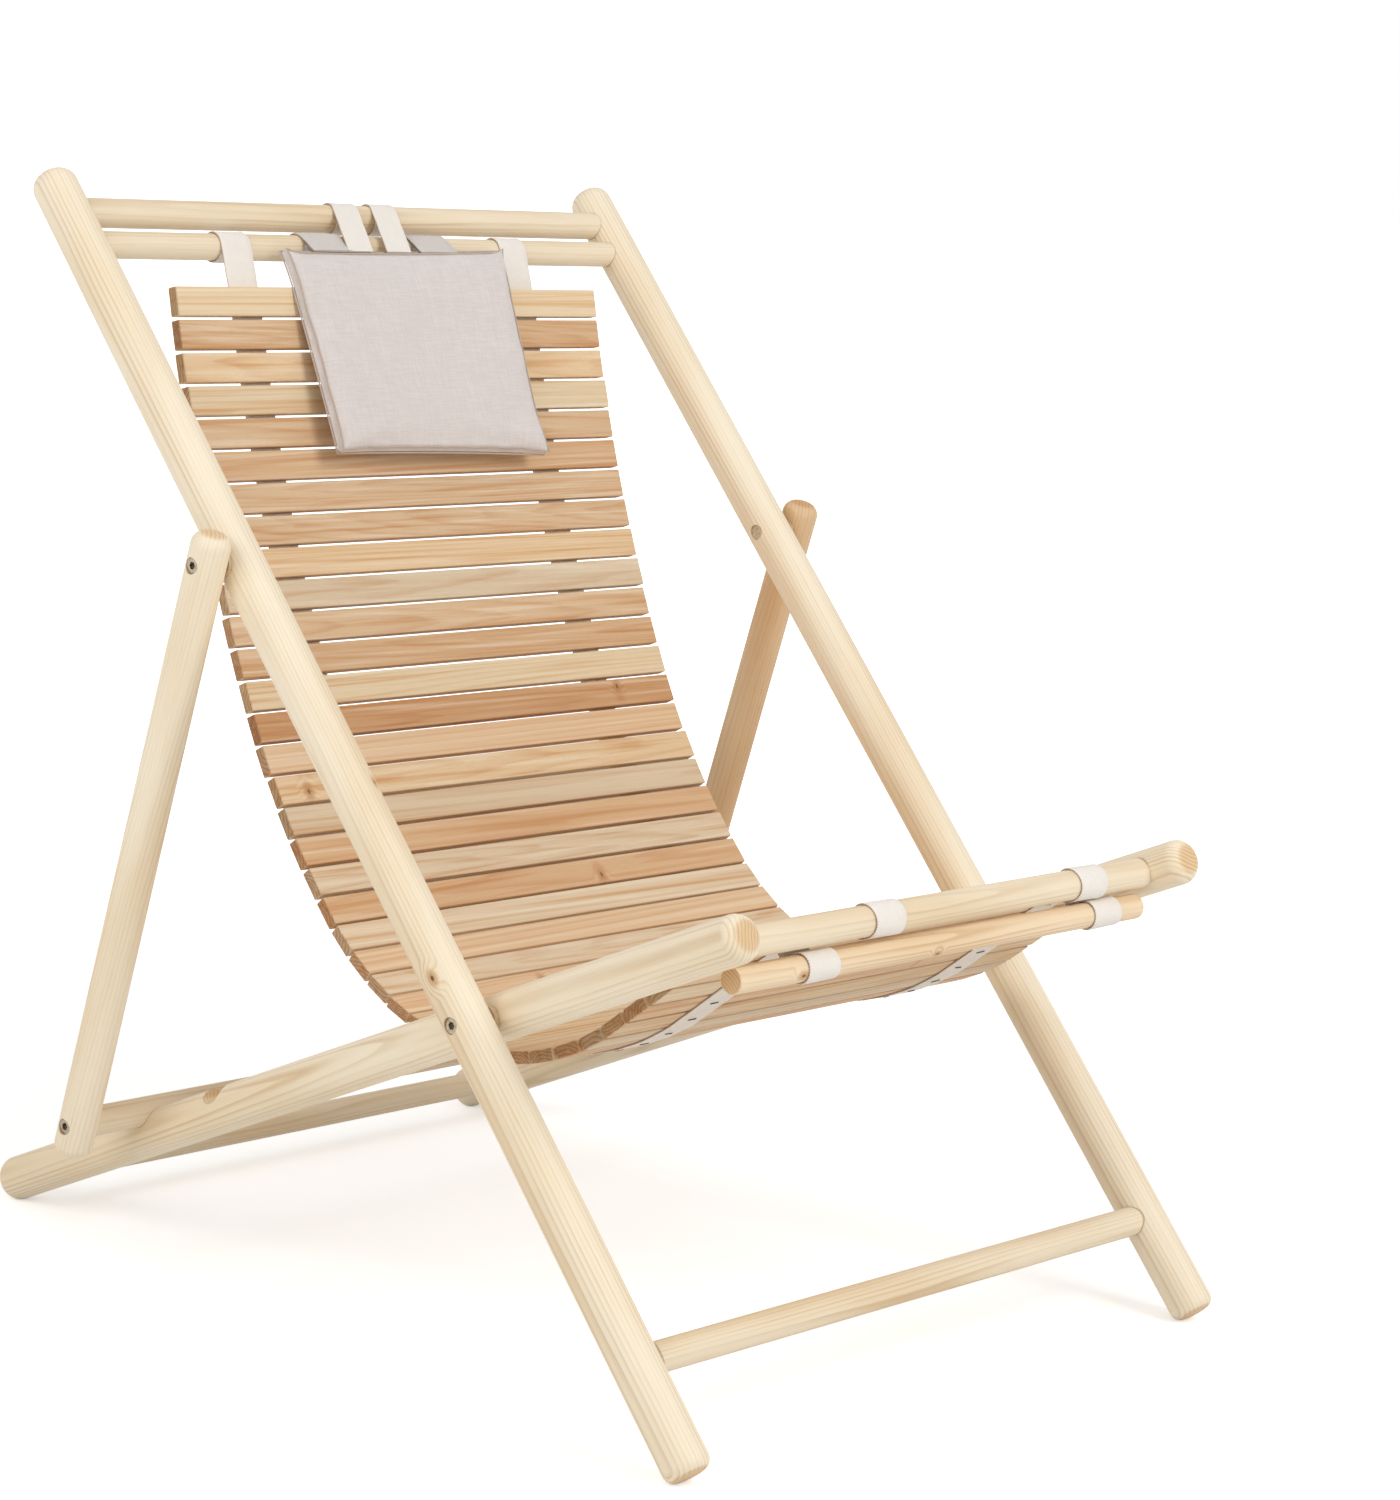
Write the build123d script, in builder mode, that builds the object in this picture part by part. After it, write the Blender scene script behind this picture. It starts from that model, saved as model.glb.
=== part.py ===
from build123d import *
import os
from math import acos, asin, atan2, cos, degrees, hypot, radians, sin, tan

# Folding lounge chair. X runs across the chair, Y to its back, Z up from the floor.
# Sizes are in millimetres and degrees. A point in the side view is (y, z).

# Main poles
pole_diameter = 40.0
pole_end_round = 9.5
pole_top_round = 14.0
main_length = 1251.3
main_lean = 47.66
seat_pivot_from_foot = 401.7
prop_pivot_from_foot = 845.4
foot_flat = 1.0

# Seat poles
seat_length = 955.7
seat_pivot_from_rear = 680.6
seat_spacer = 5.0
notch_from_pivot = 463.3
notch_spacing = 100.0
notch_ramp_slope = 9.4

# Prop legs
prop_diameter = 34.0
prop_end_round = 8.0
prop_top_round = 12.0
prop_above_pivot = 29.0
prop_below_rail = 27.0
prop_gap = 1.0
prop_washer = 2.5
prop_lap_length = 58.0
prop_rail_tenon = 8.0

# Rails and rod
rail_diameter = 26.0
sling_rail_diameter = 24.0
rod_diameter = 22.0
head_rail_from_top = 40.5
sling_rail_from_top = 75.2
foot_rail_from_foot = 96.6
front_rail_from_front = 43.6
rear_rail_diameter = 24.0
rear_rail_from_rear = 45.0
rail_tenon = 15.0
rod_side_gap = 5.0
rod_below_rail = 28.3
rod_ahead_of_rail = 2.8
rod_end_round = 1.5

# Slats and webbing
slat_length = 526.0
slat_width = 26.0
slat_thickness = 11.0
slat_edge_round = 2.0
slat_gap = 3.4
slat_side_gap = 7.0
sling_end_gap = 5.0
strap_centre_x = 174.0
strap_width = 35.0
webbing_thickness = 1.6
staple_width = 10.0
staple_wire = 1.2
staple_height = 0.8

# First slat, seen from the sling rail, and how the sling turns from slat to slat
first_slat_ahead_of_rail = 30.5
first_slat_below_rail = 46.7
first_slat_heading = 75.8
back_turn = 1.0
waist_turn = 2.45
seat_turn = 6.6
back_slat_count = 13
waist_slat_count = 7
front_panel_slat_count = 4
most_slats_count = 90

# Loops of webbing
top_loop_width = 35.0
rail_loop_left_x = -86.0
rail_loop_right_x = 188.0
rod_loop_left_x = -166.0
rod_loop_right_x = 211.0
front_loop_width = 38.0
rail_tail_forward = 9.0
rod_tail_forward = 4.0

# Pillow
pillow_width = 276.0
pillow_height = 190.0
pillow_thickness = 15.0
pillow_edge = 7.0
pillow_draw = 1.5
pillow_centre_x = 6.0
pillow_above_slats = 34.5
pillow_lean = 10.0
pillow_crown_inset = 70.0
pillow_strap_left_x = -27.0
pillow_strap_right_x = 21.0
pillow_strap_width = 34.0
pillow_tab_left_x = -69.0
pillow_tab_right_x = 65.0
pillow_tab_width = 48.0
pillow_tab_thickness = 2.0

# Bolts
bolt_diameter = 8.0
bolt_head_diameter = 14.0
bolt_head_height = 6.0
bolt_recess = 2.0
bolt_socket = 7.0
bolt_socket_depth = 4.0
nut_thickness = 6.0
nut_cap = 2.0
spacer_diameter = 22.0
rail_bolt_length = 40.0

# Clearances
pin_clearance = 0.05
fit_clearance = 0.15
seat_clearance = 0.3
strap_break = 0.25
strap_bevel = 24.0
tab_seam_clearance = 4.6
strap_seam_clearance = 15.0

# Places worked out from the sizes above
pole_radius = pole_diameter / 2
prop_radius = prop_diameter / 2
rail_radius = rail_diameter / 2
sling_rail_radius = sling_rail_diameter / 2
rod_radius = rod_diameter / 2
rear_rail_radius = rear_rail_diameter / 2
seat_inner_x = slat_length / 2 + slat_side_gap
seat_centre_x = seat_inner_x + pole_radius
main_centre_x = seat_centre_x + pole_diameter + seat_spacer
prop_centre_x = main_centre_x + pole_radius + prop_gap + prop_radius
main_inner_x = main_centre_x - pole_radius


def along(start, angle, distance):
    """Point at a distance from a start, along a slope in the side view."""
    return (start[0] + distance * cos(radians(angle)), start[1] + distance * sin(radians(angle)))


def end_height(slope):
    """Height of a pole's axis at its rounded end, when the end stands on the floor."""
    upright = pole_end_round * sin(radians(slope))
    return pole_end_round + (pole_radius - pole_end_round) * cos(radians(slope)) - upright - foot_flat


def end_reach(slope):
    """How far a pole's rounded lower end reaches past its axis end, along the floor."""
    inset = pole_end_round * (1 - cos(radians(slope)))
    return inset + (pole_radius - pole_end_round) * sin(radians(slope))


# The seat poles' slope follows from the pivot's height, with both ends on the floor.
pivot_z = end_height(main_lean) + seat_pivot_from_foot * sin(radians(main_lean))
slope_reach = hypot(pole_radius - pole_end_round, seat_pivot_from_rear - pole_end_round)
slope_start = degrees(atan2(seat_pivot_from_rear - pole_end_round, pole_radius - pole_end_round))
seat_slope = slope_start - degrees(acos((pivot_z + foot_flat - pole_end_round) / slope_reach))
front_y = -seat_pivot_from_foot * cos(radians(main_lean)) - end_reach(main_lean)
back_y = seat_pivot_from_rear * cos(radians(seat_slope)) + end_reach(seat_slope)
seat_pivot = (-(front_y + back_y) / 2, pivot_z)

main_foot = along(seat_pivot, main_lean + 180, seat_pivot_from_foot)
prop_pivot = along(main_foot, main_lean, prop_pivot_from_foot)
head_rail_at = along(main_foot, main_lean, main_length - head_rail_from_top)
sling_rail_at = along(main_foot, main_lean, main_length - sling_rail_from_top)
foot_rail_at = along(main_foot, main_lean, foot_rail_from_foot)
seat_rear = along(seat_pivot, -seat_slope, seat_pivot_from_rear)
front_rail_at = along(seat_rear, 180 - seat_slope, seat_length - front_rail_from_front)
rear_rail_at = along(seat_rear, 180 - seat_slope, rear_rail_from_rear)
rod_at = (front_rail_at[0] - rod_ahead_of_rail, front_rail_at[1] - rod_below_rail)


def notch_at(distance):
    """Centre of a notch, level with the top of a seat pole, at a distance behind the pivot."""
    return along(along(seat_pivot, -seat_slope, distance), 90 - seat_slope, pole_radius)


notches = [notch_at(notch_from_pivot + step * notch_spacing) for step in (-1, 0, 1)]
prop_rail_at = notches[1]
prop_run = hypot(prop_rail_at[0] - prop_pivot[0], prop_rail_at[1] - prop_pivot[1])
prop_angle = degrees(atan2(prop_rail_at[1] - prop_pivot[1], prop_rail_at[0] - prop_pivot[0]))


# Middle of each slat's back face and its heading, from the top slat down and round to the front
slat_at = [(sling_rail_at[0] - first_slat_ahead_of_rail, sling_rail_at[1] - first_slat_below_rail)]
slat_heading = [first_slat_heading]
slat_pitch = slat_width + slat_gap


def apart(one, other):
    """Distance between two points."""
    return hypot(one[0] - other[0], one[1] - other[1])


def turn_after(number):
    """How far the sling turns after a slat.

    In the seat it turns until it points at the front rail, and no slower than an arc to the rail does.
    """
    if number < back_slat_count:
        return back_turn
    if number < back_slat_count + waist_slat_count:
        return waist_turn
    place = slat_at[number - 1]
    ahead = degrees(atan2(front_rail_at[1] - place[1], front_rail_at[0] - place[0]))
    left_to_turn = (slat_heading[number - 1] - ahead) % 360 - 180
    half_step = slat_pitch / (2 * apart(place, front_rail_at))
    arc_turn = degrees(4 * half_step * sin(radians(left_to_turn)))
    return min(max(seat_turn, arc_turn), left_to_turn / (1 - half_step))


# The sling goes on to the front, as far as the front rail and the rod leave room.
for number in range(1, most_slats_count):
    half_turn = turn_after(number) / 2
    place = along(slat_at[-1], slat_heading[-1] - half_turn + 180, slat_pitch)
    heading = slat_heading[-1] - 2 * half_turn
    edge = along(place, heading + 180, slat_width / 2)
    rail_room = apart(edge, front_rail_at) - rail_radius
    rod_room = apart(edge, rod_at) - rod_radius
    if min(rail_room, rod_room) < sling_end_gap or place[0] < front_rail_at[0]:
        break
    slat_at.append(place)
    slat_heading.append(heading)

# Last slat of each panel: four in the back, then four of a few slats each to the front
slat_count = len(slat_at)
back_panels_end = slat_count - 4 * front_panel_slat_count
back_panel = back_panels_end / 4
panel_ends = [back_panels_end - int(back_panel * step) for step in (3, 2, 1, 0)]
panel_ends += [back_panels_end + front_panel_slat_count * step for step in (1, 2, 3, 4)]


def on_slat(number, forward, outward):
    """Point by a slat, forward along the sling's run and outward from the slat's back face."""
    run = along(slat_at[number - 1], slat_heading[number - 1] + 180, forward)
    return along(run, slat_heading[number - 1] - 90, outward)


def between_slats(number):
    """Point on the back faces' run, halfway between a slat and the next one."""
    before = slat_at[number - 1]
    after = slat_at[number]
    return ((before[0] + after[0]) / 2, (before[1] + after[1]) / 2)


def side_view(x):
    """Side view plane at an X, with its own X to the back and Y up."""
    return Plane(origin=(x, 0, 0), x_dir=(0, 1, 0), z_dir=(1, 0, 0))


def sloping(x, start, angle):
    """Plane at a point, with Z along a slope in the side view and X across the chair."""
    direction = (0, cos(radians(angle)), sin(radians(angle)))
    return Plane(origin=(x, start[0], start[1]), x_dir=(1, 0, 0), z_dir=direction)


def round_pole(x, start, angle, length, radius, end_round, top_round):
    """Round pole with an eased lower end and a domed upper end, in the part being built."""
    with Locations(sloping(x, start, angle)):
        Cylinder(radius, length, align=(Align.CENTER, Align.CENTER, Align.MIN))
    lower, upper = edges(Select.LAST).filter_by(GeomType.CIRCLE).sort_by(Axis.Z)
    fillet(lower, end_round)
    fillet(upper, top_round)


def across(at, radius, start_x, end_x, mode=Mode.ADD):
    """Round bar or bore across the chair, from one X to another."""
    with Locations(Plane(origin=(start_x, at[0], at[1]), x_dir=(0, 1, 0), z_dir=(1, 0, 0))):
        Cylinder(radius, end_x - start_x, align=(Align.CENTER, Align.CENTER, Align.MIN), mode=mode)


def side_shape(points, start_x, end_x, mode=Mode.ADD):
    """Straight-sided outline in the side view, from one X to another."""
    with BuildSketch(side_view(start_x)) as outline:
        with BuildLine():
            Polyline(*points, close=True)
        make_face()
    extrude(outline.sketch, amount=end_x - start_x, mode=mode)


def tangent_angle(start, centre, radius):
    """Slope of the line from a start that brushes the front or upper side of a circle."""
    reach = hypot(centre[0] - start[0], centre[1] - start[1])
    return degrees(atan2(centre[1] - start[1], centre[0] - start[0])) + degrees(asin(radius / reach))


def band(centre, radius, thickness, middle_x, width):
    """Closed band of cloth round a rail."""
    across(centre, radius + thickness, middle_x - width / 2, middle_x + width / 2)
    across(centre, radius, middle_x - width / 2, middle_x + width / 2, Mode.SUBTRACT)


def band_tail(centre, radius, thickness, end, middle_x, width):
    """Flat run of cloth from an end to the front or upper side of a band, then round its rail."""
    slope = tangent_angle(end, centre, radius)
    inner = along(centre, slope + 90, radius)
    outer = along(centre, slope + 90, radius + thickness)
    end_outer = along(end, slope + 90, thickness)
    side_shape((end, inner, outer, end_outer), middle_x - width / 2, middle_x + width / 2)


os.makedirs("parts", exist_ok=True)

# Main poles
seat_bolt_head_x = main_centre_x + pole_radius - bolt_recess
prop_outer_x = prop_centre_x + prop_radius
prop_lap_x = main_centre_x + pole_radius + prop_washer
tenon_end_x = main_inner_x + rail_tenon
bolt_hole_radius = bolt_diameter / 2 + pin_clearance
head_hole_radius = bolt_head_diameter / 2 + fit_clearance
socket_end_clearance = seat_clearance

with BuildPart() as main_pole_right:
    round_pole(
        main_centre_x, main_foot, main_lean, main_length, pole_radius, pole_end_round, pole_top_round
    )
    for rail_at, radius in (
        (head_rail_at, rail_radius),
        (sling_rail_at, sling_rail_radius),
        (foot_rail_at, rail_radius),
    ):
        across(
            rail_at, radius + fit_clearance, main_inner_x - pole_radius, tenon_end_x, Mode.SUBTRACT
        )
    for pivot in (seat_pivot, prop_pivot):
        across(pivot, bolt_hole_radius, 0, main_centre_x + pole_diameter, Mode.SUBTRACT)
    across(
        seat_pivot,
        head_hole_radius,
        seat_bolt_head_x - bolt_head_height,
        main_centre_x + pole_diameter,
        Mode.SUBTRACT,
    )
    across(
        prop_pivot,
        head_hole_radius,
        main_inner_x - pole_radius,
        main_inner_x + bolt_recess + nut_thickness,
        Mode.SUBTRACT,
    )
    with Locations((main_centre_x, main_foot[0], 0)):
        Box(
            pole_diameter * 2,
            pole_diameter * 4,
            pole_diameter,
            align=(Align.CENTER, Align.CENTER, Align.MAX),
            mode=Mode.SUBTRACT,
        )
main_pole_right.part.label = "main_pole_right"
export_step(main_pole_right.part, "parts/main_pole_right.step")

with BuildPart() as main_pole_left:
    mirror(main_pole_right.part, about=Plane.YZ)
main_pole_left.part.label = "main_pole_left"
export_step(main_pole_left.part, "parts/main_pole_left.step")

# Rails between the main poles
rail_end_x = tenon_end_x - socket_end_clearance

with BuildPart() as head_rail:
    across(head_rail_at, rail_radius, -rail_end_x, rail_end_x)
head_rail.part.label = "head_rail"
export_step(head_rail.part, "parts/head_rail.step")

with BuildPart() as sling_rail:
    across(sling_rail_at, sling_rail_radius, -rail_end_x, rail_end_x)
sling_rail.part.label = "sling_rail"
export_step(sling_rail.part, "parts/sling_rail.step")

with BuildPart() as foot_rail:
    across(foot_rail_at, rail_radius, -rail_end_x, rail_end_x)
foot_rail.part.label = "foot_rail"
export_step(foot_rail.part, "parts/foot_rail.step")

# Seat poles with their three notches. The middle notch opens to the rear with a long ramp.
notch_radius = rail_radius + seat_clearance
ramp_run = notch_radius / tan(radians(notch_ramp_slope))
ramp_floor = along(notches[1], -90 - seat_slope + notch_ramp_slope, notch_radius)
ramp_end = along(ramp_floor, notch_ramp_slope - seat_slope, ramp_run + notch_radius)
ramp_end_above = along(ramp_end, 90 - seat_slope, pole_radius)
notch_above = along(notches[1], 90 - seat_slope, pole_radius)
seat_outer_x = seat_centre_x + pole_radius

with BuildPart() as seat_pole_right:
    round_pole(
        seat_centre_x, seat_rear, 180 - seat_slope, seat_length, pole_radius, pole_end_round, pole_top_round
    )
    across(seat_pivot, bolt_hole_radius, 0, seat_outer_x + pole_radius, Mode.SUBTRACT)
    across(
        seat_pivot,
        head_hole_radius,
        seat_inner_x - pole_radius,
        seat_inner_x + bolt_recess + nut_thickness,
        Mode.SUBTRACT,
    )
    for place, radius in ((front_rail_at, rail_radius), (rear_rail_at, rear_rail_radius)):
        across(
            place,
            radius + fit_clearance,
            seat_inner_x - pole_radius,
            seat_inner_x + rail_tenon,
            Mode.SUBTRACT,
        )
    for notch in notches:
        across(notch, notch_radius, seat_inner_x, seat_outer_x, Mode.SUBTRACT)
    side_shape(
        (notches[1], ramp_floor, ramp_end, ramp_end_above, notch_above),
        seat_inner_x,
        seat_outer_x,
        Mode.SUBTRACT,
    )
    with Locations((seat_centre_x, seat_rear[0], 0)):
        Box(
            pole_diameter * 2,
            pole_diameter * 4,
            pole_diameter,
            align=(Align.CENTER, Align.CENTER, Align.MAX),
            mode=Mode.SUBTRACT,
        )
seat_pole_right.part.label = "seat_pole_right"
export_step(seat_pole_right.part, "parts/seat_pole_right.step")

with BuildPart() as seat_pole_left:
    mirror(seat_pole_right.part, about=Plane.YZ)
seat_pole_left.part.label = "seat_pole_left"
export_step(seat_pole_left.part, "parts/seat_pole_left.step")

seat_rail_end_x = seat_inner_x + rail_tenon - socket_end_clearance

with BuildPart() as front_rail:
    across(front_rail_at, rail_radius, -seat_rail_end_x, seat_rail_end_x)
front_rail.part.label = "front_rail"
export_step(front_rail.part, "parts/front_rail.step")

with BuildPart() as rear_rail:
    across(rear_rail_at, rear_rail_radius, -seat_rail_end_x, seat_rail_end_x)
rear_rail.part.label = "rear_rail"
export_step(rear_rail.part, "parts/rear_rail.step")

with BuildPart() as rod:
    across(rod_at, rod_radius, rod_side_gap - seat_inner_x, seat_inner_x - rod_side_gap)
    fillet(rod.edges().filter_by(GeomType.CIRCLE), rod_end_round)
rod.part.label = "rod"
export_step(rod.part, "parts/rod.step")

# Prop legs, flattened on the inside where they turn on the main poles
prop_inner_x = prop_centre_x - prop_radius
prop_top = along(prop_pivot, prop_angle + 180, prop_above_pivot)
prop_length = prop_above_pivot + prop_run + prop_below_rail
prop_tenon_end_x = prop_inner_x + prop_rail_tenon
rail_bolt_head_x = prop_outer_x - bolt_recess

with BuildPart() as prop_leg_right:
    round_pole(
        prop_centre_x, prop_top, prop_angle, prop_length, prop_radius, prop_end_round, prop_top_round
    )
    with Locations(sloping(prop_lap_x, prop_top, prop_angle)):
        Box(
            prop_diameter,
            prop_diameter * 2,
            prop_lap_length * 2,
            align=(Align.MAX, Align.CENTER, Align.CENTER),
            mode=Mode.SUBTRACT,
        )
    across(prop_pivot, bolt_hole_radius, 0, prop_outer_x + prop_radius, Mode.SUBTRACT)
    across(
        prop_rail_at,
        rail_radius + fit_clearance,
        prop_inner_x - prop_radius,
        prop_tenon_end_x,
        Mode.SUBTRACT,
    )
    across(prop_rail_at, bolt_hole_radius, 0, prop_outer_x + prop_radius, Mode.SUBTRACT)
    for pivot, floor_gap in ((prop_pivot, seat_clearance), (prop_rail_at, 0)):
        across(
            pivot,
            head_hole_radius,
            rail_bolt_head_x - bolt_head_height - floor_gap,
            prop_outer_x + prop_radius,
            Mode.SUBTRACT,
        )
prop_leg_right.part.label = "prop_leg_right"
export_step(prop_leg_right.part, "parts/prop_leg_right.step")

with BuildPart() as prop_leg_left:
    mirror(prop_leg_right.part, about=Plane.YZ)
prop_leg_left.part.label = "prop_leg_left"
export_step(prop_leg_left.part, "parts/prop_leg_left.step")

# Crossbar of the prop legs, let into both legs and bolted through them
prop_rail_end_x = prop_inner_x + prop_rail_tenon - socket_end_clearance

with BuildPart() as prop_rail:
    across(prop_rail_at, rail_radius, -prop_rail_end_x, prop_rail_end_x)
    for side in (-1, 1):
        ends = sorted((side * (rail_bolt_head_x - rail_bolt_length), side * prop_outer_x))
        across(prop_rail_at, bolt_hole_radius, ends[0], ends[1], Mode.SUBTRACT)
prop_rail.part.label = "prop_rail"
export_step(prop_rail.part, "parts/prop_rail.step")


def bolt(at, head_x, tip_x):
    """Socket-head bolt across the right side of the chair, head outward."""
    across(at, bolt_head_diameter / 2, head_x - bolt_head_height, head_x)
    across(at, bolt_diameter / 2, tip_x, head_x - bolt_head_height)
    with BuildSketch(side_view(head_x)) as socket:
        with Locations(at):
            RegularPolygon(bolt_socket / 2, 6)
    extrude(socket.sketch, amount=-bolt_socket_depth, mode=Mode.SUBTRACT)


def nut(at, inner_x):
    """Sleeve nut sunk in a pole's inner face, with a blind bore for the bolt's tip."""
    across(at, bolt_head_diameter / 2, inner_x, inner_x + nut_thickness - seat_clearance)
    across(at, bolt_hole_radius, inner_x + nut_cap, inner_x + nut_thickness, Mode.SUBTRACT)


def ring(at, start_x, end_x):
    """Flat ring on a pivot bolt."""
    across(at, spacer_diameter / 2, start_x, end_x)
    across(at, bolt_hole_radius, start_x, end_x, Mode.SUBTRACT)


# Pivot bolts, nuts, spacers and washers, made on the right and mirrored to the left
seat_nut_x = seat_inner_x + bolt_recess
prop_nut_x = main_inner_x + bolt_recess
tip_gap = nut_cap + seat_clearance

with BuildPart() as seat_pivot_bolts:
    bolt(seat_pivot, seat_bolt_head_x, seat_nut_x + tip_gap)
    mirror(about=Plane.YZ)
seat_pivot_bolts.part.label = "seat_pivot_bolts"
export_step(seat_pivot_bolts.part, "parts/seat_pivot_bolts.step")

with BuildPart() as seat_pivot_nuts:
    nut(seat_pivot, seat_nut_x)
    mirror(about=Plane.YZ)
seat_pivot_nuts.part.label = "seat_pivot_nuts"
export_step(seat_pivot_nuts.part, "parts/seat_pivot_nuts.step")

with BuildPart() as seat_spacers:
    ring(seat_pivot, seat_outer_x + fit_clearance, main_inner_x - fit_clearance)
    mirror(about=Plane.YZ)
seat_spacers.part.label = "seat_spacers"
export_step(seat_spacers.part, "parts/seat_spacers.step")

with BuildPart() as prop_pivot_bolts:
    bolt(prop_pivot, rail_bolt_head_x, prop_nut_x + tip_gap)
    mirror(about=Plane.YZ)
prop_pivot_bolts.part.label = "prop_pivot_bolts"
export_step(prop_pivot_bolts.part, "parts/prop_pivot_bolts.step")

with BuildPart() as prop_pivot_nuts:
    nut(prop_pivot, prop_nut_x)
    mirror(about=Plane.YZ)
prop_pivot_nuts.part.label = "prop_pivot_nuts"
export_step(prop_pivot_nuts.part, "parts/prop_pivot_nuts.step")

with BuildPart() as prop_washers:
    ring(prop_pivot, main_centre_x + pole_radius + fit_clearance, prop_lap_x - fit_clearance)
    mirror(about=Plane.YZ)
prop_washers.part.label = "prop_washers"
export_step(prop_washers.part, "parts/prop_washers.step")

with BuildPart() as prop_rail_bolts:
    bolt(prop_rail_at, rail_bolt_head_x, rail_bolt_head_x - rail_bolt_length + seat_clearance)
    mirror(about=Plane.YZ)
prop_rail_bolts.part.label = "prop_rail_bolts"
export_step(prop_rail_bolts.part, "parts/prop_rail_bolts.step")

# The sling in panels: slats, the two straps behind them and the staples that hold them
strap_face = fit_clearance
strap_back = fit_clearance + webbing_thickness
strap_sides = (-strap_centre_x, strap_centre_x)


def at_break(number, forward, outward):
    """Point by the gap after a slat, forward along the sling and outward from the back faces."""
    heading = (slat_heading[number - 1] + slat_heading[number]) / 2
    return along(along(between_slats(number), heading + 180, forward), heading - 90, outward)


def strap_run(first, last, outward):
    """Side-view points of one face of a strap, along a panel's slats."""
    points = []
    end_gap = strap_break + outward * tan(radians(strap_bevel))
    if first > 1:
        points.append(at_break(first - 1, end_gap, outward))
    for number in range(first, last + 1):
        points.append(on_slat(number, -slat_width / 2, outward))
        points.append(on_slat(number, slat_width / 2, outward))
    if last < slat_count:
        points.append(at_break(last, -end_gap, outward))
    return points


first = 1
for panel, last in zip("abcdefgh", panel_ends):
    numbers = range(first, last + 1)

    with BuildPart() as slats:
        for number in numbers:
            middle = on_slat(number, 0, -slat_thickness / 2)
            with Locations(sloping(0, middle, slat_heading[number - 1] + 90)):
                Box(slat_length, slat_width, slat_thickness)
        fillet(slats.edges().filter_by(Axis.X), slat_edge_round)
    slats.part.label = "slats_" + panel
    export_step(slats.part, "parts/slats_" + panel + ".step")

    with BuildPart() as webbing:
        face = strap_run(first, last, strap_face)
        back = strap_run(first, last, strap_back)
        for middle_x in strap_sides:
            side_shape(
                face + back[::-1], middle_x - strap_width / 2, middle_x + strap_width / 2
            )
    webbing.part.label = "webbing_" + panel
    export_step(webbing.part, "parts/webbing_" + panel + ".step")

    with BuildPart() as staples:
        for number in numbers:
            middle = on_slat(number, 0, strap_back + staple_height / 2)
            for middle_x in strap_sides:
                with Locations(sloping(middle_x, middle, slat_heading[number - 1] + 90)):
                    Box(staple_width, staple_wire, staple_height)
    staples.part.label = "staples_" + panel
    export_step(staples.part, "parts/staples_" + panel + ".step")
    first = last + 1

# Loops over the sling rail, from the straps' top ends
loop_radius = sling_rail_radius + seat_clearance
loop_start = on_slat(1, -slat_width / 2 - seat_clearance, strap_back)

with BuildPart() as top_loops:
    for middle_x in strap_sides:
        band_tail(
            sling_rail_at, loop_radius, webbing_thickness, loop_start, middle_x, top_loop_width
        )
        band(sling_rail_at, loop_radius, webbing_thickness, middle_x, top_loop_width)
top_loops.part.label = "top_loops"
export_step(top_loops.part, "parts/top_loops.step")

# Loops round the front rail and round the rod, from the back of the last slat
layer = strap_back + fit_clearance
rail_loop_start = on_slat(slat_count, rail_tail_forward, layer)
rod_loop_start = on_slat(slat_count, rod_tail_forward, layer)

with BuildPart() as rail_loops:
    for middle_x in (rail_loop_left_x, rail_loop_right_x):
        radius = rail_radius + seat_clearance
        band_tail(
            front_rail_at, radius, webbing_thickness, rail_loop_start, middle_x, front_loop_width
        )
        band(front_rail_at, radius, webbing_thickness, middle_x, front_loop_width)
rail_loops.part.label = "rail_loops"
export_step(rail_loops.part, "parts/rail_loops.step")

with BuildPart() as rod_loops:
    for middle_x in (rod_loop_left_x, rod_loop_right_x):
        radius = rod_radius + seat_clearance
        band_tail(rod_at, radius, webbing_thickness, rod_loop_start, middle_x, front_loop_width)
        band(rod_at, radius, webbing_thickness, middle_x, front_loop_width)
rod_loops.part.label = "rod_loops"
export_step(rod_loops.part, "parts/rod_loops.step")

# Pillow: it leans on the top slat's upper edge and hangs from its top seam
pillow_heading = slat_heading[0] - pillow_lean
pillow_rest = along(on_slat(1, -slat_width / 2, -slat_thickness), pillow_heading + 90, seat_clearance)
pillow_back = along(pillow_rest, pillow_heading + 180, pillow_height - pillow_above_slats)
pillow_seam = along(
    along(pillow_back, pillow_heading, pillow_height - pillow_draw),
    pillow_heading + 90,
    pillow_edge / 2,
)


def pillow_outline(inset):
    """Four sides of the pillow, each drawn in to its middle."""
    half_width = pillow_width / 2 - inset
    low = inset
    high = pillow_height - inset
    middle = pillow_height / 2
    ThreePointArc((-half_width, low), (0, low + pillow_draw), (half_width, low))
    ThreePointArc((half_width, low), (half_width - pillow_draw, middle), (half_width, high))
    ThreePointArc((half_width, high), (0, high - pillow_draw), (-half_width, high))
    ThreePointArc((-half_width, high), (-half_width + pillow_draw, middle), (-half_width, low))


def pillow_level(height):
    """Plane of the pillow at a height over its back, X across and Y up the slats."""
    at = along(pillow_back, pillow_heading + 90, height)
    normal = (0, -sin(radians(pillow_heading)), cos(radians(pillow_heading)))
    return Plane(origin=(pillow_centre_x, at[0], at[1]), x_dir=(1, 0, 0), z_dir=normal)


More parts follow.
